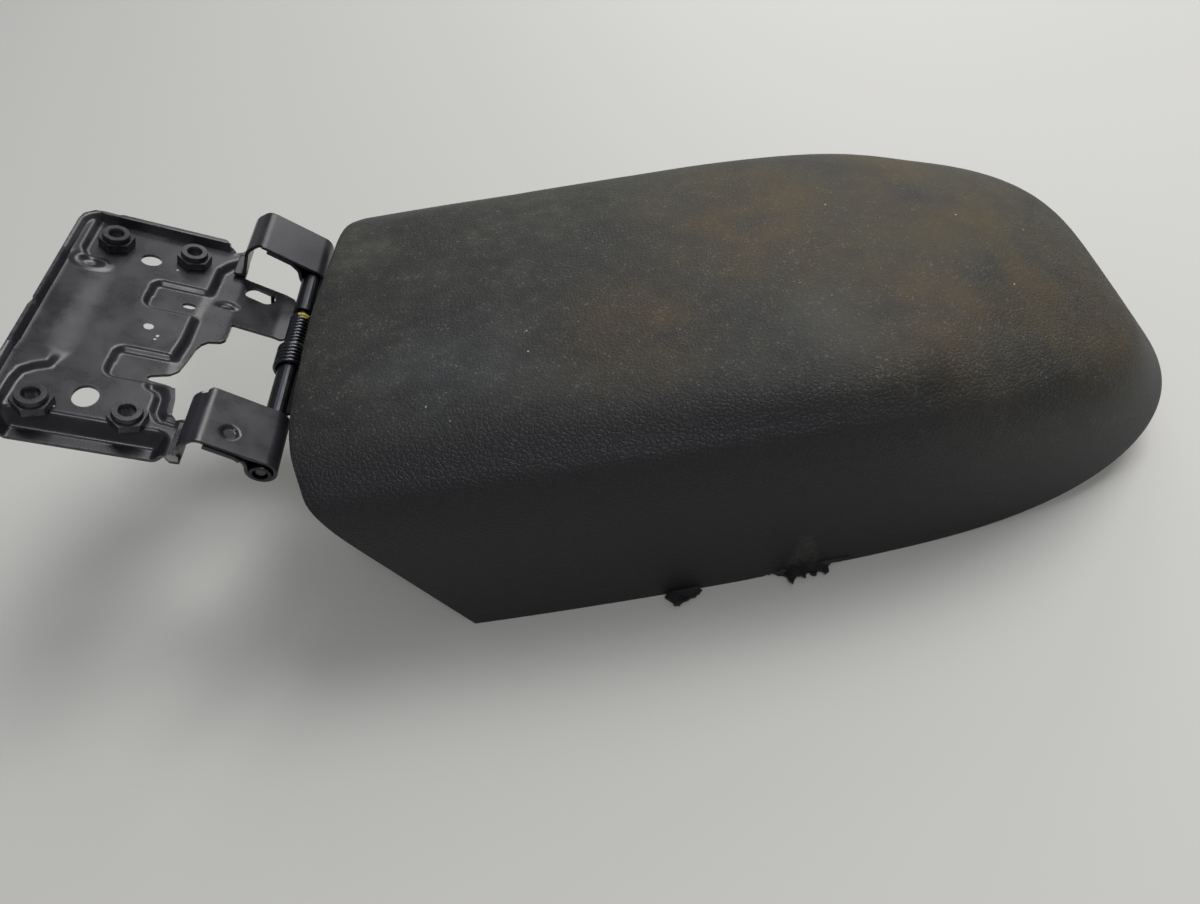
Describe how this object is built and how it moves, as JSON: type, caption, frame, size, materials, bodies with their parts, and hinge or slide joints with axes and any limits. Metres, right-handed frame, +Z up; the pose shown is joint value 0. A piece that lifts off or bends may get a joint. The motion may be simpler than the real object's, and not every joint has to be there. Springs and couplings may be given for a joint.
{
  "type": "centre console armrest",
  "caption": "Padded console armrest lid with a rounded nose, open underneath, on a sprung hinge with a stamped mounting plate that carries weld nuts.",
  "frame": {"origin": "centre of the whole armrest's box in plan, at the level of the lid's lower edge", "axes": "+X from the hinge to the lid's nose, +Y across the lid, +Z up with the lid lying on its skirt"},
  "size_m": [0.4297, 0.1878, 0.1142],
  "materials": {
    "skin": "black moulded skin with a leather-like grain, worn and dusty",
    "foam": "yellowish moulded foam",
    "plastic": "matt black plastic",
    "steel": "dull dark steel",
    "painted": "satin black paint on stamped steel, scuffed at edges",
    "spring": "dark spring wire",
    "screw": "zinc plated",
    "stop": "matt black rubber"
  },
  "bodies": {
    "lid": {"cover_skin": "skin", "foam_pad": "foam", "lid_pan": "plastic", "bottom_panel": "plastic", "lid_bracket": "steel", "sleeve_near": "steel", "sleeve_far": "steel", "hinge_pin": "steel", "torsion_spring": "spring", "bracket_screw_1": "screw", "bracket_screw_2": "screw", "bracket_screw_3": "screw", "bracket_screw_4": "screw", "panel_screw_1": "screw", "panel_screw_2": "screw", "panel_screw_3": "screw", "panel_screw_4": "screw", "panel_screw_5": "screw", "panel_screw_6": "screw", "bump_stop_near": "stop", "bump_stop_far": "stop"},
    "plate": {"hinge_plate": "painted", "weld_nut_1": "painted", "weld_nut_2": "painted", "weld_nut_3": "painted", "weld_nut_4": "painted"}
  },
  "joints": [
    {"name": "lid_hinge", "type": "hinge", "parent": "lid", "child": "plate", "pos_m": [-0.1262, 0, 0.0728], "axis": [0, -1, 0], "range_deg": [0, 105], "stiffness_Nm_per_rad": 0.2, "springref_deg": -85.94, "deforming": ["torsion_spring"]}
  ]
}
